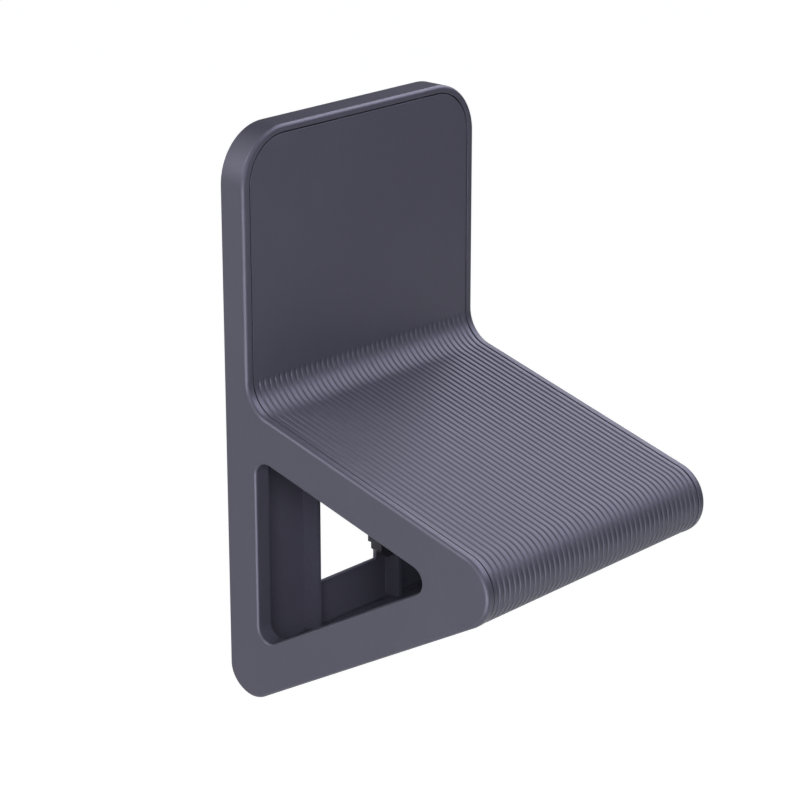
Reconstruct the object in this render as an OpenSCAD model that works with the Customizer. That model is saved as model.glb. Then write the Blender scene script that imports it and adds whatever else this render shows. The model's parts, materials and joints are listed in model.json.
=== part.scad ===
// Footstool that hangs on a wall bracket: an upright back that runs
// through a fillet into a ribbed tread, between two cheeks with windows.
// Millimetres. +X to the viewer's right, -Y out from the wall, +Z up.
// The origin is the middle of the bracket's four holes, on the wall.

/* [Body] */
// Width across the two cheeks
body_w = 228; // [210:1:260]
// Height from the lowest point to the top edge
body_h = 400; // [385:1:440]
// Reach from the wall to the nose
body_d = 235; // [215:1:260]
// Depth of the upright back
back_d = 22; // [20:0.5:27]
// Radius of the two top corners
top_r = 38; // [20:1:50]
// Radius of the lower rear corner
corner_r = 21; // [16:1:25]
// Height at which tread and back would meet without their fillet
seat_z = 212.7; // [205:0.1:222]
// Slope of the tread, falling away from the wall
seat_deg = 15.4; // [12:0.1:18]
// Radius between back and tread
fillet_r = 24; // [18:1:30]
// Radius of the nose
nose_r = 25.7; // [23:0.1:30]
// Wall thickness of the moulded shell
wall = 3.2; // [2.6:0.1:4]
// Gap that the soft pads hold between the shell and the wall
back_gap = 0.8; // [0.5:0.1:1.2]

/* [Windows] */
// Distance of the window's rear edge from the wall
win_back = 28.6; // [26:0.1:36]
// Cheek width between tread and window
win_top = 30.6; // [26:0.1:36]
// Cheek width between underside and window
win_low = 32.3; // [28:0.1:38]
// Corner radius of the window
win_r = 10; // [7:0.5:12]
// Depth of the window's inward rim
win_depth = 12.5; // [8:0.5:16]
// Thickness of that rim
win_rim = 2.4; // [1.8:0.1:3]

/* [Tread panel] */
// Thickness of the inlaid panel, rib tops included
panel_t = 3; // [2.6:0.1:3.6]
// Housing rim left beside the panel
panel_side = 6.6; // [5:0.1:9]
// Housing rim left above the panel
panel_top = 5.6; // [5:0.1:9]
// Width of the seam round the panel
seam = 0.6; // [0.4:0.1:1]
// How far the panel's face lies below the housing's
panel_low = 0.3; // [0.1:0.1:0.5]
// Length of panel that turns under, behind the nose
panel_tail = 34; // [20:1:50]
// Distance from rib to rib
rib_pitch = 5; // [4:0.5:8]
// Height of a rib
rib_h = 1; // [0.6:0.1:1.2]
// Width of a rib's flat top
rib_top_w = 1.6; // [1:0.1:2]
// Width of a rib at its foot
rib_foot_w = 3.6; // [3:0.1:3.8]
// Length over which the grooves run out below the flat back
rib_fade = 3; // [2:0.5:5]
// Radius of the stakes that hold the panel
stake_r = 2.5; // [2:0.1:3]

/* [Rear frame] */
// Thickness of the frame's plate
frame_t = 3; // [2.6:0.1:3.6]
// Play between the frame and the shell
frame_gap = 0.4; // [0.3:0.1:0.6]
// Width of the lower port
port_w = 62; // [58:1:66]
// Height of the port's lower edge
port_z = 54; // [48:1:60]
// Height at which the port widens for the bracket
bay_z = 112; // [106:0.5:112]
// Distance of a flank's inner face from the middle
flank_x = 40.5; // [40:0.5:42]
// Thickness of a flank
flank_t = 3; // [2:0.1:4]
// Distance of a flank's front edge from the wall
flank_d = 17.5; // [15:0.5:20]

/* [Wall bracket] */
// Width of the bracket
bracket_w = 76; // [70:1:78]
// Height of the bracket's lower edge
bracket_z = 128; // [127:0.5:134]
// Height of the bracket itself
bracket_h = 224; // [214:1:230]
// Thickness of the bracket's steel
bracket_t = 2.5; // [2:0.1:3]
// Distance of a wall hole from the bracket's side
bolt_side = 13; // [10:0.5:16]
// Distance of a wall hole from the bracket's upper or lower edge
bolt_end = 22; // [18:0.5:26]
// Radius of a wall hole
bolt_r = 3.25; // [2.5:0.25:4]
// Height of the lower pair of hooks
hook_z = 222; // [216:1:226]
// Distance from the lower to the upper hooks
hook_step = 70; // [60:1:74]
// Distance of a hook from the middle
hook_x = 22; // [18:1:24]
// Width of a hook
hook_w = 20; // [14:1:22]
// Height of a hook's lip above its seat
hook_lip = 13; // [10:0.5:13]
// Lift that frees the body from the hooks
lift = 14; // [11:0.5:14]

/* [Hook plate] */
// Thickness of the hook plate
plate_t = 2; // [1.6:0.1:2.5]
// Half of the hook plate's width
plate_x = 56; // [52:1:60]
// Height of the hook plate
plate_h = 124; // [112:1:130]

/* [Latch] */
// Distance of the latch's inner side from the middle
latch_x = 25; // [24:0.5:26]
// Width of the latch
latch_w = 12; // [11:0.5:13]
// Thickness of the latch's bar
latch_t = 4; // [3:0.5:5]
// Height of the latch's lower end when it is locked
latch_z = 58.6; // [57:0.2:62]
// Distance of the finger grip's face from the wall
grip_d = 15; // [13:0.5:18]
// Height of the finger grip
grip_h = 14; // [11:0.5:15]
// Chamfer on the grip's lower inner edge
grip_cut = 6; // [3:0.5:8]

/* [Fasteners and pads] */
// Radius of a screw's shank
screw_r = 2; // [1.5:0.1:2.2]
// Radius of a screw's head
head_r = 3.8; // [3:0.1:4]
// Radius of a soft pad
pad_r = 8; // [6:0.5:10]
// Thickness of a soft pad
pad_t = 2; // [1.6:0.1:2.4]
// Distance of a soft pad from the middle
pad_x = 85; // [70:1:92]
// Height of the lower pads
pad_low = 44; // [38:1:50]
// Distance of the upper pads from the top edge
pad_top = 72; // [60:1:78]

/* [Hidden] */
$fn = 96;
eps = 1;
fit = 0.3;
shank_play = 0.05;

slate = [0.34, 0.33, 0.39];
slate_dark = [0.29, 0.29, 0.34];
zinc = [0.62, 0.63, 0.65];
soft = [0.12, 0.12, 0.13];

// Side view in (distance from the wall, height): centres, lengths and angles
skin = panel_t + fit;
shell_in = skin + wall;
fillet_z = seat_z + fillet_r * (1 / cos(seat_deg) - tan(seat_deg));
fillet_c = [back_d + fillet_r, fillet_z];
nose_c = [body_d - nose_r, seat_line(body_d - nose_r, nose_r)];
corner_c = [corner_r, corner_r];
seat_len = (nose_c - fillet_c) * [cos(seat_deg), -sin(seat_deg)];
under_len = sqrt(pow(norm(nose_c - corner_c), 2) - pow(nose_r - corner_r, 2));
under_deg = atan2(nose_c.y - corner_c.y, nose_c.x - corner_c.x) - atan2(nose_r - corner_r, under_len);
win_rear = win_back + win_r;
win_tip = (seat_line(0, win_top + win_r) - under_line(0, win_low + win_r))
    / (tan(seat_deg) + tan(under_deg));
arc_step = 4;

// Places that several pieces share
half_w = body_w / 2;
mount_z = bracket_z + bracket_h / 2;
bolt_x = bracket_w - 2 * bolt_side;
bolt_z = bracket_h - 2 * bolt_end;
panel_x = half_w - panel_side;
rib_n = 1 + floor((2 * panel_x - rib_foot_w) / rib_pitch);
frame_d = back_gap + frame_t;
frame_x = half_w - wall - frame_gap;
plate_d = frame_d;
lip_d = plate_d + plate_t + 0.5;
plate_z = hook_z - (plate_h - hook_step) / 2 + 3;
bay_top = bracket_z + bracket_h + eps;
boss_r = 4;
boss_clear = 1.3;
screw_side = half_w - wall - boss_clear - boss_r;
screw_inset = 18;
screw_top = 30;
screw_above = 54;
screw_up_x = half_w - screw_inset;
screw_up = [body_h - screw_top, fillet_z + screw_above];
screw_low = 40;
screw_step = [0, 76, 148];
boss_end = win_back - win_rim + eps;
web_t = 3;
stake_back_x = 70;
stake_top = 60;
stake_above = 19;
stake_up = [for (s = [-1, 1], z = [body_h - stake_top, fillet_z + stake_above]) [s * stake_back_x, z]];
stake_run = [45, 120];
stake_x = 90;
rib_root = 0.4;
bury = 0.5;
slim = 0.02;
stake_from = panel_low + rib_h + fit;
stake_head = 1.6;
stake_spread = 1.6;
plate_rows = [0, 0.5, 1];
plate_margin = 9;
screw_len = 9;
head_h = head_r - screw_r;
latch_front = frame_d + fit + latch_t;
slot_x = latch_x + latch_w - 4;
slot_above = 19.4;
slot_low = latch_z + grip_h + slot_above;
slot_step = 14;
latch_top = bracket_z - eps;
tongue_low = port_z + lift + eps;
tongue_x = port_w / 2 - fit;
pad_spots = [for (s = [-1, 1], z = [pad_low, body_h - pad_top]) [s * pad_x, z]];
flank_low = corner_r + 3;
flank_high = plate_z - 8;

// Height of a line that runs a given depth under the tread, or over the underside
function seat_line(d, depth) = seat_z - tan(seat_deg) * (d - back_d) - depth / cos(seat_deg);
function under_line(d, depth) = corner_c.y + tan(under_deg) * (d - corner_c.x)
    + (depth - corner_r) / cos(under_deg);
function turn(a) = [cos(a), sin(a)];
function arc(c, r, from_a, to_a) = let (n = ceil(abs(to_a - from_a) / arc_step))
    [for (k = [0:n]) c + r * turn(from_a + (to_a - from_a) * k / n)];

// Side outline, drawn in by i: fillet, tread and nose, then the underside
// as far as a tail, or round the lower corner
function over_tread(i) = concat(
    arc(fillet_c, fillet_r + i, 180, 270 - seat_deg), arc(nose_c, nose_r - i, 90 - seat_deg, under_deg - 90)
);
function to_tail(i, rise, tail) = concat(
    [[back_d - i, fillet_z + rise]], over_tread(i),
    [nose_c + (nose_r - i) * turn(under_deg - 90) - tail * turn(under_deg)]
);

// Turns side view (distance, height, width) into the object's frame
module sideways() {
    rotate([90, 0, -90]) children();
}

module across(w) {
    sideways() linear_extrude(height = w, center = true) children();
}

// Front view (x, height), standing between two distances from the wall
module upright(from_d, to_d) {
    translate([0, -from_d, 0]) rotate([90, 0, 0]) linear_extrude(height = to_d - from_d) children();
}

module rod(x, z, from_d, to_d, r) {
    translate([x, -from_d, z]) rotate([90, 0, 0]) cylinder(h = to_d - from_d, r = r);
}

// Everything is drawn with its lowest point at zero and hung here
module hung() {
    translate([0, 0, -mount_z]) children();
}

// Side of the body, drawn in by i all round but at the rear
module side_2d(i, top = body_h) {
    polygon(concat(
        [[-eps, top], [back_d - i, top]], over_tread(i),
        arc(corner_c, corner_r - i, under_deg - 90, -180), [[-eps, corner_r]]
    ));
}

// Side view of a skin between two depths, from above the fillet to its tail
module skin_2d(from_i, to_i, rise, tail) {
    inner = to_tail(to_i, rise, tail);
    polygon(concat(to_tail(from_i, rise, tail), [for (k = [len(inner) - 1:-1:0]) inner[k]]));
}

// Front outline: a tall rectangle with two round top corners
module front_2d(half, top, r, low = 0) {
    translate([-half, low]) square([2 * half, top - r - low]);
    translate([-half + r, low]) square([2 * half - 2 * r, top - low]);
    for (s = [-1, 1]) translate([s * (half - r), top - r]) circle(r = r);
}

// Window outline, let out by o all round
module window_2d(o = 0) {
    r = win_r + o;
    polygon(concat(
        arc([win_rear, seat_line(win_rear, win_top + win_r)], r, 180, 90 - seat_deg),
        arc([win_tip, seat_line(win_tip, win_top + win_r)], r, 90 - seat_deg, under_deg - 90),
        arc([win_rear, under_line(win_rear, win_low + win_r)], r, under_deg - 90, -180)
    ));
}

// The ribs' section as [width, height above the outline], on a thin web.
// Where they bend they are slimmer by a hair and end buried in the straight ones.
function ribbed_section(slim) = let (
    floor_y = -panel_low - rib_h - slim,
    foot = rib_foot_w / 2 - slim,
    tip = rib_top_w / 2 - slim,
    side = panel_x - slim
) concat(
    [[-side, floor_y - rib_root], [-side, floor_y]],
    [for (i = [0:rib_n - 1]) let (x = (i - (rib_n - 1) / 2) * rib_pitch) each [
        [x - foot, floor_y], [x - tip, -panel_low - slim], [x + tip, -panel_low - slim], [x + foot, floor_y]
    ]],
    [[side, floor_y], [side, floor_y - rib_root]]
);

module bent_ribs(r, side, from_a, angle) {
    rotate(from_a) mirror([0, 1, 0]) rotate_extrude(angle = angle)
        polygon([for (p = ribbed_section(slim)) [r + side * p.y, p.x]]);
}

// Over the fillet, down the tread and round the nose
module ribs() {
    sideways() translate(fillet_c) rotate(-seat_deg) {
        bent_ribs(fillet_r, -1, -90, 90 - seat_deg);
        translate([-bury, -fillet_r]) rotate([0, 90, 0]) linear_extrude(height = seat_len + 2 * bury)
            polygon(ribbed_section(0));
        translate([seat_len, -fillet_r - nose_r]) bent_ribs(nose_r, 1, 90, 180 - seat_deg - under_deg);
    }
}

// A stake that stands in from the panel, or the hole for it
module stake(r, head) {
    translate([0, 0, stake_from]) cylinder(h = shell_in + fit + stake_head - stake_from, r = r);
    if (head) translate([0, 0, shell_in + fit]) cylinder(h = stake_head, r = stake_spread * r);
}

module stakes(r, head) {
    for (p = stake_up) translate([p.x, -back_d, p.y]) rotate([-90, 0, 0]) stake(r, head);
    for (s = [-1, 1], a = stake_run) sideways() translate(fillet_c) rotate(-seat_deg)
        translate([a, -fillet_r, s * stake_x]) rotate([90, 0, 0]) stake(r, head);
}

// Countersunk screw whose head lies flush with the frame's rear face
module screw(x, z, length, play = 0) {
    translate([x, -back_gap, z]) rotate([90, 0, 0]) {
        cylinder(h = head_h + play, r1 = head_r + play, r2 = screw_r + play);
        cylinder(h = length + play, r = screw_r + play);
    }
}

function frame_spots() = concat(
    [for (s = [-1, 1], z = screw_up) [s * screw_up_x, z]],
    [for (s = [-1, 1], z = screw_step) [s * screw_side, screw_low + z]]
);
function plate_spots() = [for (s = [-1, 1], k = plate_rows)
    [s * (plate_x - plate_margin / 2), plate_z + plate_margin + k * (plate_h - 2 * plate_margin)]];

// Bosses for the frame's screws: short ones behind the back,
// long ones that stand on the window's rim, webbed to the cheek
module bosses() {
    for (s = [-1, 1], z = screw_up) rod(s * screw_up_x, z, frame_d, back_d - shell_in + eps, boss_r);
    for (s = [-1, 1], z = screw_step) {
        rod(s * screw_side, screw_low + z, frame_d, boss_end, boss_r);
        translate([s * (screw_side + half_w - wall) / 2, -(frame_d + boss_end) / 2, screw_low + z])
            cube([half_w - wall - screw_side + eps, boss_end - frame_d, web_t], center = true);
    }
}

module window_rims() {
    for (s = [-1, 1]) translate([s * (half_w - wall - (win_depth - wall) / 2), 0, 0])
        across(win_depth - wall + eps / 2) difference() {
            window_2d(win_rim);
            window_2d();
        }
}

module housing() {
    color(slate) hung() difference() {
        union() {
            difference() {
                intersection() {
                    across(body_w) side_2d(0);
                    upright(back_gap, body_d + eps) front_2d(half_w, body_h, top_r, -eps);
                }
                intersection() {
                    across(body_w) side_2d(shell_in, body_h - wall);
                    upright(0, body_d) front_2d(half_w - wall, body_h - wall, top_r - wall);
                }
            }
            window_rims();
            bosses();
        }
        upright(back_d - skin, back_d + eps)
            front_2d(panel_x + seam, body_h - panel_top + seam, top_r - panel_side + seam, fillet_z);
        across(2 * (panel_x + seam)) skin_2d(-eps, skin, eps, panel_tail + seam);
        across(body_w + eps) window_2d();
        stakes(stake_r + fit / 2, false);
        for (p = frame_spots()) rod(p.x, p.y, frame_d - eps, frame_d + screw_len, screw_r + shank_play);
    }
}

module tread_panel() {
    face = back_d - panel_low;
    under_ribs = panel_low + rib_h + rib_root / 2;
    color(slate_dark) hung() {
        upright(back_d - panel_t, face)
            front_2d(panel_x, body_h - panel_top, top_r - panel_side, fillet_z + eps);
        across(2 * panel_x) {
            skin_2d(under_ribs, panel_t, 2 * eps, panel_tail);
            polygon([
                [face, fillet_z + 2 * eps], [face, fillet_z],
                [back_d - under_ribs, fillet_z - rib_fade], [back_d - under_ribs - eps, fillet_z - rib_fade],
                [back_d - under_ribs - eps, fillet_z + 2 * eps]
            ]);
        }
        ribs();
        stakes(stake_r, true);
    }
}

module frame_holes() {
    translate([-port_w / 2, port_z]) square([port_w, bay_z - port_z + eps]);
    translate([-flank_x, bay_z]) square([2 * flank_x, bay_top - bay_z]);
}

module rear_frame() {
    color(slate) hung() difference() {
        union() {
            upright(back_gap, frame_d) difference() {
                front_2d(frame_x, body_h - wall - frame_gap, top_r - wall - frame_gap,
                    corner_r + frame_gap);
                frame_holes();
            }
            for (s = [-1, 1])
                translate([s * (flank_x + flank_t / 2), -flank_d, flank_low]) translate([-flank_t / 2, 0, 0])
                cube([flank_t, flank_d - back_gap, flank_high - flank_low]);
        }
        for (p = frame_spots()) screw(p.x, p.y, frame_t, fit / 2);
        for (p = plate_spots()) screw(p.x, p.y, frame_t, fit / 2);
        for (p = pad_spots) rod(p.x, p.y, back_gap - eps, pad_t, pad_r + fit);
        for (k = [0, 1]) rod(slot_x, slot_low + k * slot_step, back_gap - eps, frame_d + eps,
            screw_r + shank_play);
    }
}

module frame_screws() {
    color(zinc) hung() for (p = frame_spots()) screw(p.x, p.y, screw_len);
}

module hook_plate() {
    color(zinc) hung() difference() {
        upright(plate_d, plate_d + plate_t) difference() {
            translate([-plate_x, plate_z]) square([2 * plate_x, plate_h]);
            for (s = [-1, 1], k = [0, 1])
                translate([s * hook_x - hook_w / 2 - 2 * fit, hook_z + k * hook_step - lift - fit])
                square([hook_w + 4 * fit, lift + bracket_t + 2 * fit]);
        }
        for (p = plate_spots()) rod(p.x, p.y, 0, plate_d + plate_t + eps, screw_r + shank_play);
    }
}

module hook_screws() {
    color(zinc) hung() for (p = plate_spots()) screw(p.x, p.y, frame_t + plate_t);
}

module latch_bar() {
    color(slate_dark) hung() difference() {
        union() {
            translate([latch_x, -latch_front, latch_z]) cube([latch_w, latch_t, latch_top - latch_z]);
            translate([latch_x, -latch_front, tongue_low])
                cube([tongue_x - latch_x, latch_front - back_gap - fit, latch_top - tongue_low]);
            translate([latch_x, -grip_d, latch_z]) cube([latch_w, grip_d - frame_d - fit, grip_h]);
        }
        upright(0, grip_d + eps) polygon([
            [latch_x - eps, latch_z - eps], [latch_x + grip_cut + eps, latch_z - eps],
            [latch_x - eps, latch_z + grip_cut + eps]
        ]);
        upright(frame_d, latch_front + eps) {
            for (z = [slot_low, slot_low + slot_step + lift])
                translate([slot_x, z]) circle(r = screw_r + fit / 2);
            translate([slot_x - screw_r - fit / 2, slot_low])
                square([2 * screw_r + fit, lift + slot_step]);
        }
    }
}

module latch_screws() {
    color(zinc) hung() for (k = [0, 1]) {
        rod(slot_x, slot_low + k * slot_step, back_gap + fit, latch_front + 2 * fit, screw_r);
        rod(slot_x, slot_low + k * slot_step, latch_front + fit, latch_front + fit + 2, head_r);
    }
}

module wall_pads() {
    color(soft) hung() for (p = pad_spots) rod(p.x, p.y, 0, pad_t, pad_r);
}

module hook(x, z) {
    translate([x, 0, z]) across(hook_w) {
        translate([bracket_t - eps / 2, 0]) square([lip_d - bracket_t + eps, bracket_t]);
        translate([lip_d, bracket_t]) square([bracket_t, hook_lip]);
        intersection() {
            translate([lip_d, bracket_t]) circle(r = bracket_t);
            translate([lip_d, 0]) square([bracket_t, bracket_t]);
        }
    }
}

module wall_bracket() {
    color(zinc) hung() {
        upright(0, bracket_t) difference() {
            translate([-bracket_w / 2, bracket_z]) square([bracket_w, bracket_h]);
            for (s = [-1, 1], t = [-1, 1])
                translate([s * bolt_x / 2, mount_z + t * bolt_z / 2]) circle(r = bolt_r);
            for (s = [-1, 1], k = [0, 1])
                translate([s * hook_x - hook_w / 2 - fit, hook_z + k * hook_step + bracket_t])
                square([hook_w + 2 * fit, hook_lip + lip_d]);
        }
        for (s = [-1, 1], k = [0, 1]) hook(s * hook_x, hook_z + k * hook_step);
    }
}

housing();
tread_panel();
rear_frame();
frame_screws();
hook_plate();
hook_screws();
latch_bar();
latch_screws();
wall_pads();
wall_bracket();
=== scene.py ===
import json
from math import atan2, ceil, cos, degrees, radians, sin, sqrt, tan

import bmesh
import bpy
from mathutils import Matrix, Vector
from mathutils.geometry import tessellate_polygon

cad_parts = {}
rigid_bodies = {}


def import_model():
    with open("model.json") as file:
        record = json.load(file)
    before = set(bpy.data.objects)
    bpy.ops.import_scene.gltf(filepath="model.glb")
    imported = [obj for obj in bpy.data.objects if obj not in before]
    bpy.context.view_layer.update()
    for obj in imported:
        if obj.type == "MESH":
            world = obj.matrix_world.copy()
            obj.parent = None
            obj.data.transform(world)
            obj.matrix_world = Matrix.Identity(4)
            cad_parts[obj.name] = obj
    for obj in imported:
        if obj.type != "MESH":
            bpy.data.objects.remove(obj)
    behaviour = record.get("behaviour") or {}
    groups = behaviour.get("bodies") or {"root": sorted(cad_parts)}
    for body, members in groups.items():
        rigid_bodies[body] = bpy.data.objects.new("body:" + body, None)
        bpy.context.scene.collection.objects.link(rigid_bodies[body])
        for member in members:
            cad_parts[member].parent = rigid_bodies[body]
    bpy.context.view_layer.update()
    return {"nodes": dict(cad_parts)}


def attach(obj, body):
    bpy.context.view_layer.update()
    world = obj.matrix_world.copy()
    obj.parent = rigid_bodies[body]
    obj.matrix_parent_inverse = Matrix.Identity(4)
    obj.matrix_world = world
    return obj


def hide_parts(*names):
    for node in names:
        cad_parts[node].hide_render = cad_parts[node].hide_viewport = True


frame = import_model()
for leftover in [o for o in bpy.data.objects if o.name in ("Cube", "Light", "Camera")]:
    bpy.data.objects.remove(leftover)
print("frame loaded:", len(frame["nodes"]), "nodes")

# sizes are in millimetres: x, distance from the wall, height over the lowest point
mm = 0.001
mountHeight = 240  # of the frame's origin

stool = {
    "halfWidth": 114, "height": 400, "reach": 235, "backDepth": 22, "backGap": 0.8,
    "topRadius": 38, "cornerRadius": 20.5, "seatHeight": 212.7, "seatSlope": 15.4,
    "filletRadius": 24, "noseRadius": 25.7, "wall": 3.2, "lowCorner": 21,
    "backRow": 350,  # height of the last points under the arch
}
seam = {"side": 6.6, "top": 5.6, "gap": 0.6, "depth": 3.3, "tail": 34, "lip": 0.3, "ledge": 3}
edges = {"bead": 2.5, "rear": 0.8, "window": 1.9, "rim": 0.5, "growOver": 70}
window = {"back": 28.6, "top": 30.6, "low": 32.3, "radius": 10, "depth": 12.5, "rim": 2.4}
arcStep = {"corner": 4, "nose": 3, "arch": 5, "window": 5, "inside": 6, "panelArch": 3}  # degrees
roundSteps = {"bead": 6, "lip": 4, "rim": 3, "panel": 5}
# points nearer than this merge, and edges shorter than this collapse
welding = {"merge": 0.008, "mergePanel": 0.0005, "mergeCad": 0.004, "collapse": 0.002}


def place(x, d, z):
    return Vector((x, -d, z - mountHeight)) * mm


def turn(angle):
    return cos(radians(angle)), sin(radians(angle))


# the side view: lines of tread and underside, centres of the arcs
slope = tan(radians(stool["seatSlope"]))
slopeCos = cos(radians(stool["seatSlope"]))
seatNormal = 90 - stool["seatSlope"]


def seatLine(d, depth):
    return stool["seatHeight"] - slope * (d - stool["backDepth"]) - depth / slopeCos


filletHeight = stool["seatHeight"] + stool["filletRadius"] * (1 / slopeCos - slope)
filletCentre = (stool["backDepth"] + stool["filletRadius"], filletHeight)
noseD = stool["reach"] - stool["noseRadius"]
noseCentre = (noseD, seatLine(noseD, stool["noseRadius"]))
lowCentre = (stool["lowCorner"], stool["lowCorner"])
runD, riseZ = noseCentre[0] - lowCentre[0], noseCentre[1] - lowCentre[1]
radiusStep = stool["noseRadius"] - stool["lowCorner"]
straight = sqrt(runD * runD + riseZ * riseZ - radiusStep ** 2)  # the underside's length between its arcs
underAngle = degrees(atan2(riseZ, runD) - atan2(radiusStep, straight))
underSlope = tan(radians(underAngle))
underNormal = underAngle - 90


def underLine(d, depth):
    return lowCentre[1] + underSlope * (d - lowCentre[0]) \
        + (depth - stool["lowCorner"]) / cos(radians(underAngle))


# distance from the wall at which the two lines meet, each at its own depth
def meetingD(seatDepth, underDepth):
    return (seatLine(0, seatDepth) - underLine(0, underDepth)) / (slope + underSlope)


rearD = stool["backGap"] + stool["cornerRadius"]
rearCentre = (rearD, underLine(rearD, stool["cornerRadius"]))


# (d, z, angle of the outward normal) along an arc
def arcStations(centre, radius, first, last, step, hollow=False):
    count = max(1, ceil(abs(last - first) / step))
    side = -1 if hollow else 1
    found = []
    for k in range(count + 1):
        angle = first + (last - first) * k / count
        c, s = turn(angle)
        found.append((centre[0] + side * radius * c, centre[1] + side * radius * s, angle))
    return found


def inset(station, depth):
    c, s = turn(station[2])
    return station[0] - depth * c, station[1] - depth * s


# a rounded corner as pairs (inwards, downwards), from (0, radius) to (radius, 0)
def quarterRound(radius, steps):
    corners = [turn(90 * k / steps) for k in range(steps + 1)]
    return [(radius * (1 - c), radius * (1 - s)) for c, s in corners]


# rows of points become rows of quads
def loft(bm, rows, closed=False):
    grid = [[bm.verts.new(p) for p in row] for row in rows]
    for lower, upper in zip(grid, grid[1:]):
        count = len(lower)
        for k in range(count if closed else count - 1):
            bm.faces.new((lower[k], lower[(k + 1) % count], upper[(k + 1) % count], upper[k]))


# a closed tube of loops with a flat face at each end
def loftSolid(bm, loops):
    loft(bm, loops, closed=True)
    flatFace(bm, loops[0])
    flatFace(bm, loops[-1])


# a flat face inside the first loop, with the other loops as holes
def flatFace(bm, *loops):
    verts = [bm.verts.new(p) for loop in loops for p in loop]
    for corners in tessellate_polygon([list(loop) for loop in loops]):
        bm.faces.new([verts[k] for k in corners])


def closeMesh(bm, name, mergeAt=welding["merge"]):
    bmesh.ops.remove_doubles(bm, verts=bm.verts, dist=mergeAt * mm)
    bmesh.ops.dissolve_degenerate(bm, edges=bm.edges, dist=welding["collapse"] * mm)
    bmesh.ops.recalc_face_normals(bm, faces=bm.faces)
    openEdges = sum(1 for e in bm.edges if not e.is_manifold)
    mesh = toMesh(bm, name)
    print(f"  {name}: {len(mesh.polygons)} faces, {openEdges} open edges")
    return mesh


def toMesh(bm, name):
    mesh = bpy.data.meshes.new(name)
    bm.to_mesh(mesh)
    bm.free()
    return mesh


def addObject(name, data):
    made = bpy.data.objects.new(name, data)
    bpy.context.scene.collection.objects.link(made)
    return made


# turns what the modifiers make into the piece's own plain mesh
def settle(piece):
    bpy.context.view_layer.update()
    graph = bpy.context.evaluated_depsgraph_get()
    mesh = bpy.data.meshes.new_from_object(
        piece.evaluated_get(graph), preserve_all_data_layers=True, depsgraph=graph)
    piece.modifiers.clear()
    old = piece.data
    piece.data = mesh
    mesh.name = piece.name
    if old.users == 0:
        bpy.data.meshes.remove(old)
    return piece


# smooth rounds beside truly flat faces
def smoothFlats(piece, sharpAbove=38):
    mesh = piece.data
    mesh.shade_smooth()
    mesh.set_sharp_from_angle(angle=radians(sharpAbove))
    modifier = piece.modifiers.new("flats", "WEIGHTED_NORMAL")
    modifier.mode = "FACE_AREA"
    modifier.weight = 100
    modifier.keep_sharp = True
    return settle(piece)


def finishPiece(piece, body, node, slotName, material):
    piece.data.materials.clear()
    piece.data.materials.append(material)
    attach(piece, body)
    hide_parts(node)


# adds nodes to a tree of any kind
class TreeBuilder:
    def __init__(self, tree):
        self.tree = tree

    # links or fills a node's inputs, by name or number
    def fill(self, target, inputs):
        for key, value in inputs.items():
            if isinstance(value, bpy.types.NodeSocket):
                self.tree.links.new(value, target.inputs[key])
            else:
                target.inputs[key].default_value = value
        return target

    def node(self, kind, inputs=None, **settings):
        made = self.tree.nodes.new(kind)
        for key, value in settings.items():
            setattr(made, key, value)
        return self.fill(made, inputs or {})

    def math(self, operation, a, b=0.0, c=0.0):
        return self.node("ShaderNodeMath", {0: a, 1: b, 2: c}, operation=operation).outputs[0]

    def vector(self, operation, a, b=(0.0, 0.0, 0.0)):
        second = {"Scale": b} if operation == "SCALE" else {1: b}
        return self.node("ShaderNodeVectorMath", {0: a, **second}, operation=operation).outputs[0]

    def remap(self, value, low, high, toLow=0.0, toHigh=1.0, **settings):
        ranges = {"Value": value, "From Min": low, "From Max": high, "To Min": toLow, "To Max": toHigh}
        return self.node("ShaderNodeMapRange", ranges, **settings).outputs[0]

    def mixColors(self, share, first, second):
        return self.node("ShaderNodeMix", {0: share, 6: first, 7: second}, data_type="RGBA").outputs[2]


# a node group with named sockets: (name, kind, default) for each input and output
class GroupBuilder(TreeBuilder):
    def __init__(self, name, treeKind, inputs, outputs):
        super().__init__(bpy.data.node_groups.new(name, treeKind))
        for inOut, wanted in (("INPUT", inputs), ("OUTPUT", outputs)):
            for socketName, kind, value in wanted:
                socket = self.tree.interface.new_socket(
                    name=socketName, in_out=inOut, socket_type="NodeSocket" + kind)
                if value is not None:
                    socket.default_value = value
        self.given = self.node("NodeGroupInput").outputs
        self.result = self.node("NodeGroupOutput")


grainLook = {
    "driftScale": 16, "driftDetail": 4, "fineDetail": 2, "speckScale": 420, "speckDetail": 3,
    "speckFrom": 0.3, "speckTo": 0.7, "darkest": 0.97, "lightest": 1.03, "roughSpan": 0.12, "bump": 0.1,
}


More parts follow.
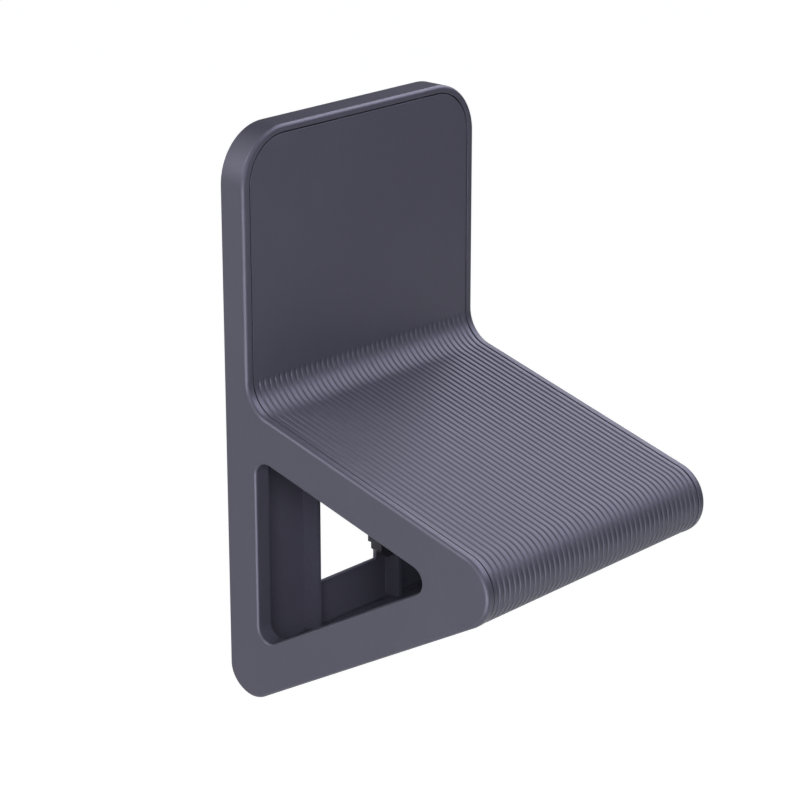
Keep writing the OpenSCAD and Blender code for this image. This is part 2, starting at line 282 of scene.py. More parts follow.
# fine moulded grain: a slow colour drift, small specks and a bump
def makeGrainGroup():
    group = GroupBuilder("mouldedGrain", "ShaderNodeTree", [
        ("Color", "Color", (0.1, 0.1, 0.13, 1)), ("Drift", "Float", 0.06), ("Grain Scale", "Float", 1400),
        ("Grain Depth", "Float", 0.1), ("Roughness", "Float", 0.5),
    ], [("Color", "Color", None), ("Roughness", "Float", None), ("Normal", "Vector", None)])
    given, node, math, look = group.given, group.node, group.math, grainLook
    coords = node("ShaderNodeTexCoord").outputs["Object"]

    def noise(scale, detail):
        made = node("ShaderNodeTexNoise", {"Vector": coords, "Scale": scale, "Detail": detail})
        return made.outputs["Fac"]

    slow = noise(look["driftScale"], look["driftDetail"])
    fine = noise(given["Grain Scale"], look["fineDetail"])
    speck = noise(look["speckScale"], look["speckDetail"])
    # the colour is multiplied by 1 plus or minus the drift, and by the specks
    gain = math("MULTIPLY_ADD", math("MULTIPLY_ADD", slow, 2, -1), given["Drift"], 1)
    speckGain = group.remap(speck, look["speckFrom"], look["speckTo"], look["darkest"], look["lightest"])
    bump = node("ShaderNodeBump", {
        "Distance": look["bump"] * mm, "Strength": given["Grain Depth"], "Height": fine})
    group.fill(group.result, {
        "Color": group.vector("SCALE", given["Color"], math("MULTIPLY", gain, speckGain)),
        "Roughness": math("MULTIPLY_ADD", speck, look["roughSpan"], given["Roughness"]),
        "Normal": bump.outputs[0]})
    return group.tree


marksLook = {
    "stretch": (1, 1, 0.55), "smearScale": 24, "smearDetail": 6, "smearTwist": 0.6,
    "smearFrom": 0.48, "smearTo": 0.78, "gritScale": 700, "gritFrom": 0.16, "gritTo": 0.08,
    "gritShare": 0.12, "roughSpan": 0.25,
}


# faint marks of handling and dust: they change colour and roughness a little
def makeMarksGroup():
    group = GroupBuilder("handlingMarks", "ShaderNodeTree", [
        ("Color", "Color", (0.1, 0.1, 0.13, 1)), ("Dust Color", "Color", (0.2, 0.2, 0.24, 1)),
        ("Roughness", "Float", 0.5), ("Amount", "Float", 0.3),
    ], [("Color", "Color", None), ("Roughness", "Float", None)])
    given, node, math, look = group.given, group.node, group.math, marksLook
    coords = node("ShaderNodeTexCoord").outputs["Object"]
    stretched = node("ShaderNodeMapping", {"Vector": coords, "Scale": look["stretch"]}).outputs[0]
    smear = node("ShaderNodeTexNoise", {
        "Vector": stretched, "Scale": look["smearScale"], "Detail": look["smearDetail"],
        "Distortion": look["smearTwist"]}).outputs["Fac"]
    grit = node("ShaderNodeTexVoronoi", {"Vector": coords, "Scale": look["gritScale"]}).outputs["Distance"]
    patch = group.remap(smear, look["smearFrom"], look["smearTo"])
    dots = group.remap(grit, look["gritFrom"], look["gritTo"])
    amount = math("MULTIPLY", math("MULTIPLY_ADD", dots, look["gritShare"], patch), given["Amount"])
    group.fill(group.result, {
        "Color": group.mixColors(amount, given["Color"], given["Dust Color"]),
        "Roughness": math("MULTIPLY_ADD", amount, look["roughSpan"], given["Roughness"])})
    return group.tree


zincLook = {
    "drawn": (1, 1, 14), "lineScale": 130, "lineDetail": 5, "crystalTones": (0.86, 1.06),
    "lineTones": (0.9, 1.08), "roughSpan": 0.16, "bump": 0.05, "bumpStrength": 0.25,
}


# cold-rolled, zinc-plated sheet: crystal patches with a fine drawn line over them
def makeZincGroup():
    group = GroupBuilder("zincPlating", "ShaderNodeTree", [
        ("Color", "Color", (0.45, 0.46, 0.48, 1)), ("Roughness", "Float", 0.3),
        ("Crystal Scale", "Float", 160),
    ], [("Color", "Color", None), ("Roughness", "Float", None), ("Normal", "Vector", None)])
    given, node, math, look = group.given, group.node, group.math, zincLook
    coords = node("ShaderNodeTexCoord").outputs["Object"]
    cells = node("ShaderNodeTexVoronoi", {"Vector": coords, "Scale": given["Crystal Scale"]})
    drawn = node("ShaderNodeMapping", {"Vector": coords, "Scale": look["drawn"]}).outputs[0]
    lines = node("ShaderNodeTexNoise", {
        "Vector": drawn, "Scale": look["lineScale"], "Detail": look["lineDetail"]}).outputs["Fac"]
    cellGrey = node("ShaderNodeSeparateColor", {0: cells.outputs["Color"]}).outputs[0]
    tone = group.remap(cellGrey, 0, 1, *look["crystalTones"])
    lineTone = group.remap(lines, 0, 1, *look["lineTones"])
    bump = node("ShaderNodeBump", {
        "Distance": look["bump"] * mm, "Strength": look["bumpStrength"], "Height": lines})
    group.fill(group.result, {
        "Color": group.vector("SCALE", given["Color"], math("MULTIPLY", tone, lineTone)),
        "Roughness": math("MULTIPLY_ADD", lines, look["roughSpan"], given["Roughness"]),
        "Normal": bump.outputs[0]})
    return group.tree


grainGroup, marksGroup, zincGroup = makeGrainGroup(), makeMarksGroup(), makeZincGroup()


def startFinish(name):
    material = bpy.data.materials.new(name)
    material.use_nodes = True
    return material, TreeBuilder(material.node_tree), material.node_tree.nodes["Principled BSDF"]


sheenTint = (0.84, 0.83, 1.0)  # the mouldings' highlights are a little blue


def makePlastic(name, values):
    material, tree, shader = startFinish(name)
    grain = tree.node("ShaderNodeGroup", {
        "Color": (*values["color"], 1), "Drift": values["drift"], "Grain Scale": values["grainScale"],
        "Grain Depth": values["grainDepth"], "Roughness": values["roughness"]}, node_tree=grainGroup)
    color = grain.outputs["Color"]
    if "groove" in values:  # painted shade: the panel's grooves and seam edges are mixed towards a darker colour than the ribs' tops
        depth = tree.node("ShaderNodeAttribute", attribute_name="groove")
        color = tree.mixColors(depth.outputs["Fac"], color, (*values["groove"], 1))
    marks = tree.node("ShaderNodeGroup", {
        "Color": color, "Roughness": grain.outputs["Roughness"], "Dust Color": (*values["dust"], 1),
        "Amount": values["marks"]}, node_tree=marksGroup)
    tree.fill(shader, {
        "Base Color": marks.outputs["Color"], "Roughness": marks.outputs["Roughness"],
        "Normal": grain.outputs["Normal"], "Specular IOR Level": values["specular"],
        "Specular Tint": (*sheenTint, 1)})
    return material


def makeZinc(name, values):
    material, tree, shader = startFinish(name)
    zinc = tree.node("ShaderNodeGroup", {
        "Color": (*values["color"], 1), "Roughness": values["roughness"],
        "Crystal Scale": values["crystalScale"]}, node_tree=zincGroup)
    tree.fill(shader, {
        "Base Color": zinc.outputs["Color"], "Roughness": zinc.outputs["Roughness"],
        "Normal": zinc.outputs["Normal"], "Metallic": 1})
    return material


slate = {
    "color": (0.105, 0.1025, 0.138), "drift": 0.04, "grainScale": 1500, "grainDepth": 0.10,
    "roughness": 0.36, "dust": (0.17, 0.17, 0.20), "marks": 0.10, "specular": 0.45,
}
slatePlastic = makePlastic("slatePlastic", slate)
# the tread's last colour is painted shade, for its grooves and for its edges down in the seam
treadPlastic = makePlastic("treadPlastic", {
    **slate, "grainScale": 1900, "grainDepth": 0.08, "groove": (0.022, 0.021, 0.030)})
framePlastic = makePlastic("framePlastic", {
    "color": (0.150, 0.147, 0.195), "drift": 0.06, "grainScale": 1200, "grainDepth": 0.14,
    "roughness": 0.50, "dust": (0.15, 0.15, 0.18), "marks": 0.16, "specular": 0.3})
latchPlastic = makePlastic("latchPlastic", {
    "color": (0.050, 0.050, 0.058), "drift": 0.06, "grainScale": 1700, "grainDepth": 0.12,
    "roughness": 0.45, "dust": (0.12, 0.12, 0.13), "marks": 0.12, "specular": 0.4})
softPad = makePlastic("softPad", {
    "color": (0.030, 0.030, 0.033), "drift": 0.2, "grainScale": 900, "grainDepth": 0.35,
    "roughness": 0.72, "dust": (0.10, 0.10, 0.10), "marks": 0.3, "specular": 0.3})
zincSheet = makeZinc("zincSheet", {"color": (0.46, 0.47, 0.49), "roughness": 0.26, "crystalScale": 170})
zincScrew = makeZinc("zincScrew", {"color": (0.52, 0.52, 0.53), "roughness": 0.20, "crystalScale": 900})
print("finishes made")


# the housing is one swept skin outside and one inside, joined at the rear edge and the windows
def sideStations():
    c, s = turn(underNormal)
    start = (noseCentre[0] + stool["noseRadius"] * c, noseCentre[1] + stool["noseRadius"] * s)
    alongC, alongS = turn(underAngle)
    tail, deep = seam["tail"] + seam["gap"], seam["depth"]
    corner = arcStations(rearCentre, stool["cornerRadius"], -180, underNormal, arcStep["corner"])
    # where the recess ends, its depth grows round a small lip
    lip = []
    for down, back in quarterRound(seam["lip"], roundSteps["lip"]):
        along = tail + back
        lip.append((start[0] - along * alongC, start[1] - along * alongS, underNormal, down))
    lip.append((*lip[-1][:3], deep))
    nose = arcStations(noseCentre, stool["noseRadius"], underNormal, seatNormal, arcStep["nose"])
    fillet = arcStations(filletCentre, stool["filletRadius"], seatNormal, 0, arcStep["nose"], hollow=True)
    back = [(stool["backDepth"], stool["backRow"], 0)]
    return [(*p, 0) for p in corner] + lip + [(*p, deep) for p in nose + fillet + back]


# (from the cheek inwards, below the surface) over bead, rim, lip and recess
def edgeColumns(bead, deep):
    recess = seam["side"] - seam["gap"]
    lip = [(recess - outwards, min(deep, down))
           for down, outwards in quarterRound(seam["lip"], roundSteps["lip"])]
    return quarterRound(bead, roundSteps["bead"]) + [(stool["wall"], 0)] + lip \
        + [(recess, deep), (recess + seam["ledge"], deep)]


# the rear's small edge grows to the full bead over the first degrees of the rear corner
def beadAt(angle):
    share = min(1, max(0, (angle + 180) / edges["growOver"]))
    return edges["rear"] + (edges["bead"] - edges["rear"]) * share * share * (3 - 2 * share)


archBase = stool["height"] - stool["topRadius"]


# (x of the arc's centre, angle) from the left foot of the arch over to the right
def archStations(step):
    centreX = stool["halfWidth"] - stool["topRadius"]
    return [(side * centreX, first - k * step)
            for side, first in ((-1, 180), (1, 90)) for k in range(int(90 / step) + 1)]


def archPoint(station, inward, d, lift=0.0):
    c, s = turn(station[1])
    r = stool["topRadius"] - inward
    return place(station[0] + r * c, d, archBase + lift + r * s)


def windowLoop(x, grow):
    topReach, lowReach = window["top"] + window["radius"], window["low"] + window["radius"]
    backD, tipD = window["back"] + window["radius"], meetingD(topReach, lowReach)
    corners = [((backD, seatLine(backD, topReach)), 180, seatNormal),
               ((tipD, seatLine(tipD, topReach)), seatNormal, underNormal),
               ((backD, underLine(backD, lowReach)), underNormal, -180)]
    return [place(x, d, z) for centre, first, last in corners
            for d, z, angle in arcStations(centre, window["radius"] + grow, first, last, arcStep["window"])]


def buildHousing():
    bm = bmesh.new()
    stations, arch = sideStations(), archStations(arcStep["arch"])
    addOutside(bm, stations, arch)
    addInside(bm, stations, arch)
    addWindowWalls(bm)
    addBosses(bm)
    return smoothFlats(addObject("housingShell", closeMesh(bm, "housingShell")))


def addOutside(bm, stations, arch):
    half, wall, gap = stool["halfWidth"], stool["wall"], stool["backGap"]
    archLift = seam["side"] - seam["top"]
    rows = []
    for d, z, angle, deep in stations:
        c, s = turn(angle)
        left = [(across, d - down * c, z - down * s) for across, down in edgeColumns(beadAt(angle), deep)]
        rows.append([place(-half + across, rowD, rowZ) for across, rowD, rowZ in left]
                    + [place(half - across, rowD, rowZ) for across, rowD, rowZ in reversed(left)])
    # over the top arch the bead follows the outer edge, the lip the panel's own arc
    strip = [[archPoint(station, across, stool["backDepth"] - down, archLift if across > wall else 0)
              for across, down in edgeColumns(edges["bead"], seam["depth"])] for station in arch]
    rows.append(strip[0] + list(reversed(strip[-1])))
    loft(bm, rows)
    loft(bm, strip)
    flatFace(bm, [row[-1] for row in strip])
    # cheeks and the band over the arch
    edgeD = gap + edges["rear"]
    for side, index in ((-1, 0), (1, -1)):
        outline = [row[index] for row in rows]
        outline += [place(side * half, edgeD, z) for z in (archBase, stool["lowCorner"])]
        flatFace(bm, outline, windowLoop(side * half, edges["window"]))
    loft(bm, [[row[0] for row in strip], [archPoint(station, 0, edgeD) for station in arch]])
    # rear edge, from the lower corner up, over and down
    profile = quarterRound(edges["rear"], roundSteps["bead"]) + [(wall, 0)]
    feet = [[place(side * (half - across), gap + down, z) for across, down in profile]
            for side in (-1, 1) for z in (rearCentre[1], stool["lowCorner"])]
    over = [[archPoint(station, across, gap + down) for across, down in profile] for station in arch]
    loft(bm, feet[:2] + over + [feet[3], feet[2]])
    beadPoints = roundSteps["bead"] + 1
    flatFace(bm, rows[0][beadPoints:-beadPoints]
             + [place(side * (half - wall), gap, stool["lowCorner"]) for side in (1, -1)])


# the same outline, a recess and a wall deeper
def addInside(bm, stations, arch):
    gap, deep = stool["backGap"], seam["depth"] + stool["wall"]
    half, frontD = stool["halfWidth"] - stool["wall"], stool["backDepth"] - deep
    corner = arcStations(lowCentre, stool["lowCorner"] - deep, -180, underNormal, arcStep["inside"])
    outline = [(gap, stool["lowCorner"])] + [(d, z) for d, z, angle in corner]
    outline += [inset(p, deep) for p in stations[:-1] if p[3] == seam["depth"]]
    outline += [(frontD, archBase)]
    loft(bm, [[place(-half, d, z), place(half, d, z)] for d, z in outline])
    for side in (-1, 1):
        flatFace(bm, [place(side * half, d, z) for d, z in outline + [(gap, archBase)]],
                 windowLoop(side * half, window["rim"]))
    front = [archPoint(station, stool["wall"], frontD) for station in arch]
    flatFace(bm, front)
    loft(bm, [front, [archPoint(station, stool["wall"], gap) for station in arch]])


# rounded outer edge, wall, and the rim's two inner edges
def addWindowWalls(bm):
    half, inside = stool["halfWidth"], stool["halfWidth"] - window["depth"]
    rim = quarterRound(edges["rim"], roundSteps["rim"])
    places = [(half - first, second) for first, second in quarterRound(edges["window"], roundSteps["bead"])]
    places += [(inside + second, first) for first, second in rim]
    places += [(inside + first, window["rim"] - second) for first, second in rim]
    places += [(half - stool["wall"], window["rim"])]
    for side in (-1, 1):
        loft(bm, [windowLoop(side * x, grow) for x, grow in places], closed=True)


bosses = {
    "radius": 4, "back": 3.9, "sideX": 105.5, "upperX": 96, "heights": (40, 116, 188), "upper": (285, 370),
    "sink": 0.9, "chamfer": 0.3, "around": 32, "webHalf": 1.5, "webSink": 0.3,
}
bossSpots = {
    "upper": [(side * bosses["upperX"], z) for side in (-1, 1) for z in bosses["upper"]],
    "lower": [(side * bosses["sideX"], z) for side in (-1, 1) for z in bosses["heights"]],
}


# ten bosses for the rear frame's screws, the lower ones with webs to the cheeks
def addBosses(bm):
    windowD = window["back"] - window["rim"]
    panelD = stool["backDepth"] - seam["depth"] - stool["wall"]
    radius, chamfer, back = bosses["radius"], bosses["chamfer"], bosses["back"]
    corners = [turn(360 * k / bosses["around"]) for k in range(bosses["around"])]
    for group, frontD in (("lower", windowD), ("upper", panelD)):
        profile = [(back, radius - chamfer), (back + chamfer, radius), (frontD + bosses["sink"], radius)]
        for x, z in bossSpots[group]:
            loftSolid(bm, [[place(x + r * c, d, z + r * s) for c, s in corners] for d, r in profile])
    cheekX = stool["halfWidth"] - stool["wall"] + bosses["webSink"]
    for x, z in bossSpots["lower"]:
        nearX, farX = sorted((x, cheekX if x > 0 else -cheekX))
        outline = [(nearX, back), (farX, back), (farX, windowD), (nearX, windowD)]
        loftSolid(bm, [[place(cornerX, d, z + step) for cornerX, d in outline]
                       for step in (-bosses["webHalf"], bosses["webHalf"])])


finishPiece(buildHousing(), "stool", "housing", "shell", slatePlastic)
print("housing built")


# a geometry tree ends in real geometry with its material
def endTree(group, geometry):
    real = group.node("GeometryNodeRealizeInstances", {"Geometry": geometry}).outputs[0]
    painted = group.node("GeometryNodeSetMaterial", {"Geometry": real, "Material": group.given["Material"]})
    group.fill(group.result, {"Geometry": painted.outputs[0]})
    return group.tree


# adds the tree as a modifier, fills its named inputs and settles the result
def grow(piece, tree, values):
    modifier = piece.modifiers.new(tree.name, "NODES")
    modifier.node_group = tree
    for item in tree.interface.items_tree:
        if item.item_type == "SOCKET" and item.in_out == "INPUT" and item.name in values:
            modifier[item.identifier] = values[item.name]
    return settle(piece)


# the tread panel is a sheet swept down the back, over the fillet, the tread and the nose
panel = {
    "depth": 0.3, "thickness": 3.0, "halfWidth": 107.1, "edge": 0.35, "fullTo": 363, "archRadius": 31.1,
    "pitch": 5.0, "ribHalf": 1.15, "grooveHalf": 2.05, "ribHeight": 0.75, "ribSpan": 105.6,
    "grooveDim": 0.26, "fadeFrom": 0.2, "fadeTo": 5.0, "columns": 700, "arcPoints": 42,
    "edgePoints": 4, "topWithin": 0.01, "overlap": 0.02, "sharpOver": 50,
}


def makeSweepTree():
    sizes = ("Width", "Thickness", "Edge Radius", "Fillet Radius", "Nose Radius", "Pitch", "Rib Half",
             "Groove Half", "Rib Height", "Rib Span", "Fade From", "Fade To", "Groove Dim")
    counts = ("Columns", "Arc Points", "Edge Points")
    group = GroupBuilder("ribbedSweep", "GeometryNodeTree", [
        ("Geometry", "Geometry", None), *((name, "Float", 0.0) for name in sizes),
        *((name, "Int", 1) for name in counts), ("Material", "Material", None),
    ], [("Geometry", "Geometry", None)])
    given, node, math, vector = group.given, group.node, group.math, group.vector
    # path: the guide's second point is the fillet's corner, its third the nose's
    path = node("GeometryNodeMeshToCurve", {"Mesh": given["Geometry"]})
    index = node("GeometryNodeInputIndex").outputs[0]
    atFillet = math("COMPARE", index, 1.0, 0.1)
    atNose = math("COMPARE", index, 2.0, 0.1)
    noseRadius = math("MULTIPLY", atNose, given["Nose Radius"])
    radius = math("MULTIPLY_ADD", atFillet, given["Fillet Radius"], noseRadius)
    bent = node("GeometryNodeFilletCurve", {
        "Curve": path.outputs[0], "Count": given["Arc Points"], "Radius": radius}, mode="POLY")
    caught = node("GeometryNodeCaptureAttribute", {"Geometry": bent.outputs[0]}, domain="POINT")
    caught.capture_items.new("FLOAT", "Along")
    caught.capture_items.new("VECTOR", "Forward")
    group.fill(caught, {"Along": node("GeometryNodeSplineParameter").outputs["Length"],
                        "Forward": node("GeometryNodeInputTangent").outputs[0]})
    # section, its upper edge at zero and cut into fine columns
    half = math("MULTIPLY", given["Thickness"], 0.5)
    outline = node("GeometryNodeCurvePrimitiveQuadrilateral", {
        "Width": given["Width"], "Height": given["Thickness"]}, mode="RECTANGLE")
    rounded = node("GeometryNodeFilletCurve", {
        "Curve": outline.outputs[0], "Count": given["Edge Points"],
        "Radius": given["Edge Radius"]}, mode="POLY")
    where = node("ShaderNodeSeparateXYZ", {0: node("GeometryNodeInputPosition").outputs[0]})
    nearTop = math("SUBTRACT", half, panel["topWithin"] * mm)
    isTop = math("GREATER_THAN", where.outputs["Y"], nearTop)
    startsTop = math("MULTIPLY", isTop, math("GREATER_THAN", where.outputs["X"], 0.0))
    fine = node("GeometryNodeSubdivideCurve", {
        "Curve": rounded.outputs[0], "Cuts": math("MULTIPLY", startsTop, given["Columns"])})
    section = node("GeometryNodeCaptureAttribute", {"Geometry": fine.outputs[0]}, domain="POINT")
    section.capture_items.new("FLOAT", "Top")
    group.fill(section, {"Top": isTop})
    down = node("ShaderNodeCombineXYZ", {1: math("MULTIPLY", half, -1.0)}).outputs[0]
    lowered = node("GeometryNodeTransform", {"Geometry": section.outputs[0], "Translation": down})
    sheet = node("GeometryNodeCurveToMesh", {
        "Curve": caught.outputs[0], "Profile Curve": lowered.outputs[0], "Fill Caps": True})
    # grooves between the ribs, pressed in from the top
    onSheet = node("ShaderNodeSeparateXYZ", {0: node("GeometryNodeInputPosition").outputs[0]})
    width = math("ABSOLUTE", onSheet.outputs["X"])
    nextRib = math("ADD", width, math("MULTIPLY", given["Pitch"], 0.5))
    offRib = math("ABSOLUTE", math("SUBTRACT", width, math("SNAP", nextRib, given["Pitch"])))
    press = group.remap(offRib, given["Rib Half"], given["Groove Half"], interpolation_type="SMOOTHSTEP")
    inside = math("LESS_THAN", width, given["Rib Span"])
    fade = group.remap(caught.outputs["Along"], given["Fade From"], given["Fade To"],
                       interpolation_type="SMOOTHSTEP")
    fadedTop = math("MULTIPLY", fade, section.outputs["Top"])
    groove = math("MULTIPLY", math("MULTIPLY", press, inside), fadedTop)
    forward = vector("NORMALIZE", caught.outputs["Forward"])
    outward = vector("CROSS_PRODUCT", forward, (1.0, 0.0, 0.0))
    shift = vector("SCALE", outward, math("MULTIPLY", math("MULTIPLY", groove, given["Rib Height"]), -1.0))
    # painted shade: the colour darkens a little in the grooves and fully down the panel's edges, in the
    # seam
    offTop = math("SUBTRACT", 1.0, section.outputs["Top"])
    dim = math("MULTIPLY_ADD", groove, given["Groove Dim"], offTop)
    kept = node("GeometryNodeStoreNamedAttribute", {
        "Geometry": sheet.outputs[0], "Name": "groove", "Value": dim}, data_type="FLOAT", domain="POINT")
    pressed = node("GeometryNodeSetPosition", {"Geometry": kept.outputs[0], "Offset": shift})
    return endTree(group, pressed.outputs[0])


# the line that the sheet follows: down the back, to the nose's tip and back under it
def guideMesh(face):
    depth = panel["depth"]
    noseRadius, tipD = stool["noseRadius"] - depth, meetingD(depth, depth)
    endC, endS = turn(underNormal)
    alongC, alongS = turn(underAngle)
    tail = (noseCentre[0] + noseRadius * endC - seam["tail"] * alongC,
            noseCentre[1] + noseRadius * endS - seam["tail"] * alongS)
    points = [(face, panel["fullTo"]), (face, seatLine(face, depth)), (tipD, seatLine(tipD, depth)), tail]
    bm = bmesh.new()
    verts = [bm.verts.new(place(0, d, z)) for d, z in points]
    for first, second in zip(verts, verts[1:]):
        bm.edges.new((first, second))
    return toMesh(bm, "treadGuide")


def buildTread():
    face = stool["backDepth"] - panel["depth"]
    sheet = addObject("treadPanel", guideMesh(face))
    flatLength = panel["fullTo"] - filletCentre[1]
    sizes = {
        "Width": 2 * panel["halfWidth"], "Thickness": panel["thickness"], "Edge Radius": panel["edge"],
        "Fillet Radius": stool["filletRadius"] + panel["depth"],
        "Nose Radius": stool["noseRadius"] - panel["depth"],
        "Pitch": panel["pitch"], "Rib Half": panel["ribHalf"], "Groove Half": panel["grooveHalf"],
        "Rib Height": panel["ribHeight"], "Rib Span": panel["ribSpan"],
        "Fade From": flatLength + panel["fadeFrom"], "Fade To": flatLength + panel["fadeTo"],
    }
    grow(sheet, makeSweepTree(), {
        **{name: size * mm for name, size in sizes.items()}, "Groove Dim": panel["grooveDim"],
        "Columns": panel["columns"], "Arc Points": panel["arcPoints"], "Edge Points": panel["edgePoints"],
        "Material": treadPlastic})
    bm = bmesh.new()
    addArch(bm, face)
    addStakes(bm)
    # painted shade: points behind the panel's face band, on the arch's edges and back and on the stakes,
    # take the full dark colour
    dim = bm.verts.layers.float.new("groove")
    faceBand = (face - 0.5 * panel["edge"]) * mm
    for v in bm.verts:
        v[dim] = 0.0 if v.co.y < -faceBand else 1.0
    bm.from_mesh(sheet.data)
    sheet.data = closeMesh(bm, "treadPanel", welding["mergePanel"])
    return smoothFlats(sheet, panel["sharpOver"])


# the round top of the panel's flat back
def addArch(bm, face):
    corner = quarterRound(panel["edge"], roundSteps["panel"])
    profile = [(inward, down) for down, inward in corner]
    profile += [(inward, panel["thickness"] - up) for inward, up in corner]
    centreX, foot = panel["halfWidth"] - panel["archRadius"], panel["fullTo"] - panel["overlap"]
    rows = []
    for x, angle in archStations(arcStep["panelArch"]):
        c, s = turn(angle)
        sideX = centreX if x > 0 else -centreX
        reach = [(panel["archRadius"] - inward, down) for inward, down in profile]
        rows.append([place(sideX + r * c, face - down, foot + r * s) for r, down in reach])
    loft(bm, rows)
    flatFace(bm, [row[0] for row in rows])
    flatFace(bm, [row[-1] for row in rows])
    flatFace(bm, rows[0] + list(reversed(rows[-1])))


stakes = {
    "radius": 2.5, "spread": 4.0, "head": 1.6, "chamfer": 0.5, "dome": 0.1, "domeIn": 1, "around": 24,
    "backX": 70, "heights": (340, 250), "sideX": 90, "runs": (45, 120), "sink": 0.3, "clear": 0.15,
}


# eight stakes go through the housing's wall and are spread behind it, to hold the panel
def addStakes(bm):
    through = seam["depth"] + stool["wall"]
    top, radius, spread = through + stakes["head"], stakes["radius"], stakes["spread"]
    profile = [(panel["thickness"] - stakes["sink"], radius), (through + stakes["clear"], radius),
               (through + stakes["clear"], spread), (top - stakes["chamfer"], spread),
               (top + stakes["dome"], spread - stakes["domeIn"])]
    alongC, alongS = turn(-stool["seatSlope"])
    normalC, normalS = turn(seatNormal)
    onSeat = []
    for run in stakes["runs"]:
        onSeat.append((filletCentre[0] - stool["filletRadius"] * normalC + run * alongC,
                       filletCentre[1] - stool["filletRadius"] * normalS + run * alongS))
    for side in (-1, 1):
        spots = [(place(side * stakes["backX"], stool["backDepth"], z), Vector((0, 1, 0)))
                 for z in stakes["heights"]]
        spots += [(place(side * stakes["sideX"], d, z), Vector((0, normalC, -normalS))) for d, z in onSeat]
        for centre, inward in spots:
            across = Vector((1, 0, 0))
            upwards = inward.cross(across)
            corners = [turn(360 * k / stakes["around"]) for k in range(stakes["around"])]
            around = [c * across + s * upwards for c, s in corners]
            loftSolid(bm, [[centre + mm * (inward * depth + r * outwards) for outwards in around]
                           for depth, r in profile])


finishPiece(buildTread(), "stool", "tread_panel", "panel", treadPlastic)
print("tread built")

# these keep their CAD shape, with broken edges: name, body, slot, finish, width of the edge
plainPieces = {
    "rear_frame": ("rearFrame", "stool", "frame", framePlastic, 0.35),
    "hook_plate": ("hookPlate", "stool", "plate_steel", zincSheet, 0.2),
    "latch_bar": ("latchBar", "latch", "latch", latchPlastic, 0.5),
    "wall_pads": ("wallPads", "stool", "pad", softPad, 0.25),
    "wall_bracket": ("wallBracket", "wall_bracket", "plate_steel", zincSheet, 0.2),
}
breaking = {"flatUnder": 0.5, "breakOver": 35, "sharpOver": 50, "segments": 3}  # the first three in degrees


def breakEdges(node, name, width):
    bm = bmesh.new()
    bm.from_mesh(frame["nodes"][node].data)
    bmesh.ops.remove_doubles(bm, verts=bm.verts, dist=welding["mergeCad"] * mm)
    bmesh.ops.dissolve_limit(bm, angle_limit=radians(breaking["flatUnder"]), verts=bm.verts, edges=bm.edges)
    piece = addObject(name, closeMesh(bm, name))
    bevel = piece.modifiers.new("brokenEdges", "BEVEL")
    bevel.width = width * mm
    bevel.segments = breaking["segments"]
    bevel.limit_method = "ANGLE"
    bevel.angle_limit = radians(breaking["breakOver"])
    bevel.use_clamp_overlap = True
    settle(piece)
    return smoothFlats(piece, breaking["sharpOver"])


for node, (name, body, slotName, finish, width) in plainPieces.items():
    finishPiece(breakEdges(node, name, width), body, node, slotName, finish)
print("plain pieces built")

# one six-lobed screw for each set, put on points
screw = {
    "shank": 2.0, "head": 3.8, "length": 9.0, "rimDepth": 0.12, "rimIn": 0.15, "around": 48, "spin": 1.05,
    "lobes": 6, "lobe": 1.45, "lobeWave": 0.26, "lobeIn": 0.15, "lobeTaper": 0.06, "lobeFlare": 0.12,
    "recess": 1.1, "recessFloor": 0.25, "pitch": 1.25, "rootFrom": 0.3, "rootTo": 0.7, "threadDepth": 0.3,
    "tip": 0.8, "tipIn": 0.7, "sharpOver": 35,
}


# profile: (depth behind the head's face, radius) from the head's rim to the tip
def screwMesh(name, profile):
    bm = bmesh.new()
    angles = [360 * k / screw["around"] for k in range(screw["around"])]

    def ring(depth, radius, wave=0.0):
        found = []
        for angle in angles:
            c, s = turn(angle)
            r = radius + wave * cos(screw["lobes"] * radians(angle))
            found.append(Vector((r * c, -depth, r * s)) * mm)
        return found

    lobe, wave, deep, lobeIn = screw["lobe"], screw["lobeWave"], screw["recess"], screw["lobeIn"]
    recess = [ring(deep, screw["recessFloor"] * lobe), ring(deep, lobe - lobeIn, wave),
              ring(deep - lobeIn, lobe - screw["lobeTaper"], wave), ring(screw["lobeFlare"], lobe, wave),
              ring(0, lobe + screw["lobeFlare"], wave)]
    loftSolid(bm, recess + [ring(*p) for p in profile])
    return closeMesh(bm, name)


def threaded(fromDepth, toDepth):
    shank, pitch, root = screw["shank"], screw["pitch"], screw["shank"] - screw["threadDepth"]
    points, depth = [], fromDepth
    while depth + pitch < toDepth - screw["tip"]:
        points += [(depth, shank), (depth + screw["rootFrom"] * pitch, root),
                   (depth + screw["rootTo"] * pitch, root)]
        depth += pitch
    return points + [(toDepth - screw["tip"], shank), (toDepth, shank - screw["tipIn"])]


def makeScrewTree():
    group = GroupBuilder("screwsOnPoints", "GeometryNodeTree", [
        ("Geometry", "Geometry", None), ("Screw", "Object", None), ("Spin", "Float", 0.0),
        ("Seed", "Int", 3), ("Material", "Material", None),
    ], [("Geometry", "Geometry", None)])
    given, node = group.given, group.node
    shape = node("GeometryNodeObjectInfo", {"Object": given["Screw"]})
    spin = node("FunctionNodeRandomValue", {
        2: 0.0, 3: given["Spin"], "Seed": given["Seed"]}, data_type="FLOAT")
    around = node("ShaderNodeCombineXYZ", {1: spin.outputs[1]})
    placed = node("GeometryNodeInstanceOnPoints", {
        "Points": given["Geometry"], "Instance": shape.outputs["Geometry"], "Rotation": around.outputs[0]})
    return endTree(group, placed.outputs[0])


screwTree = makeScrewTree()


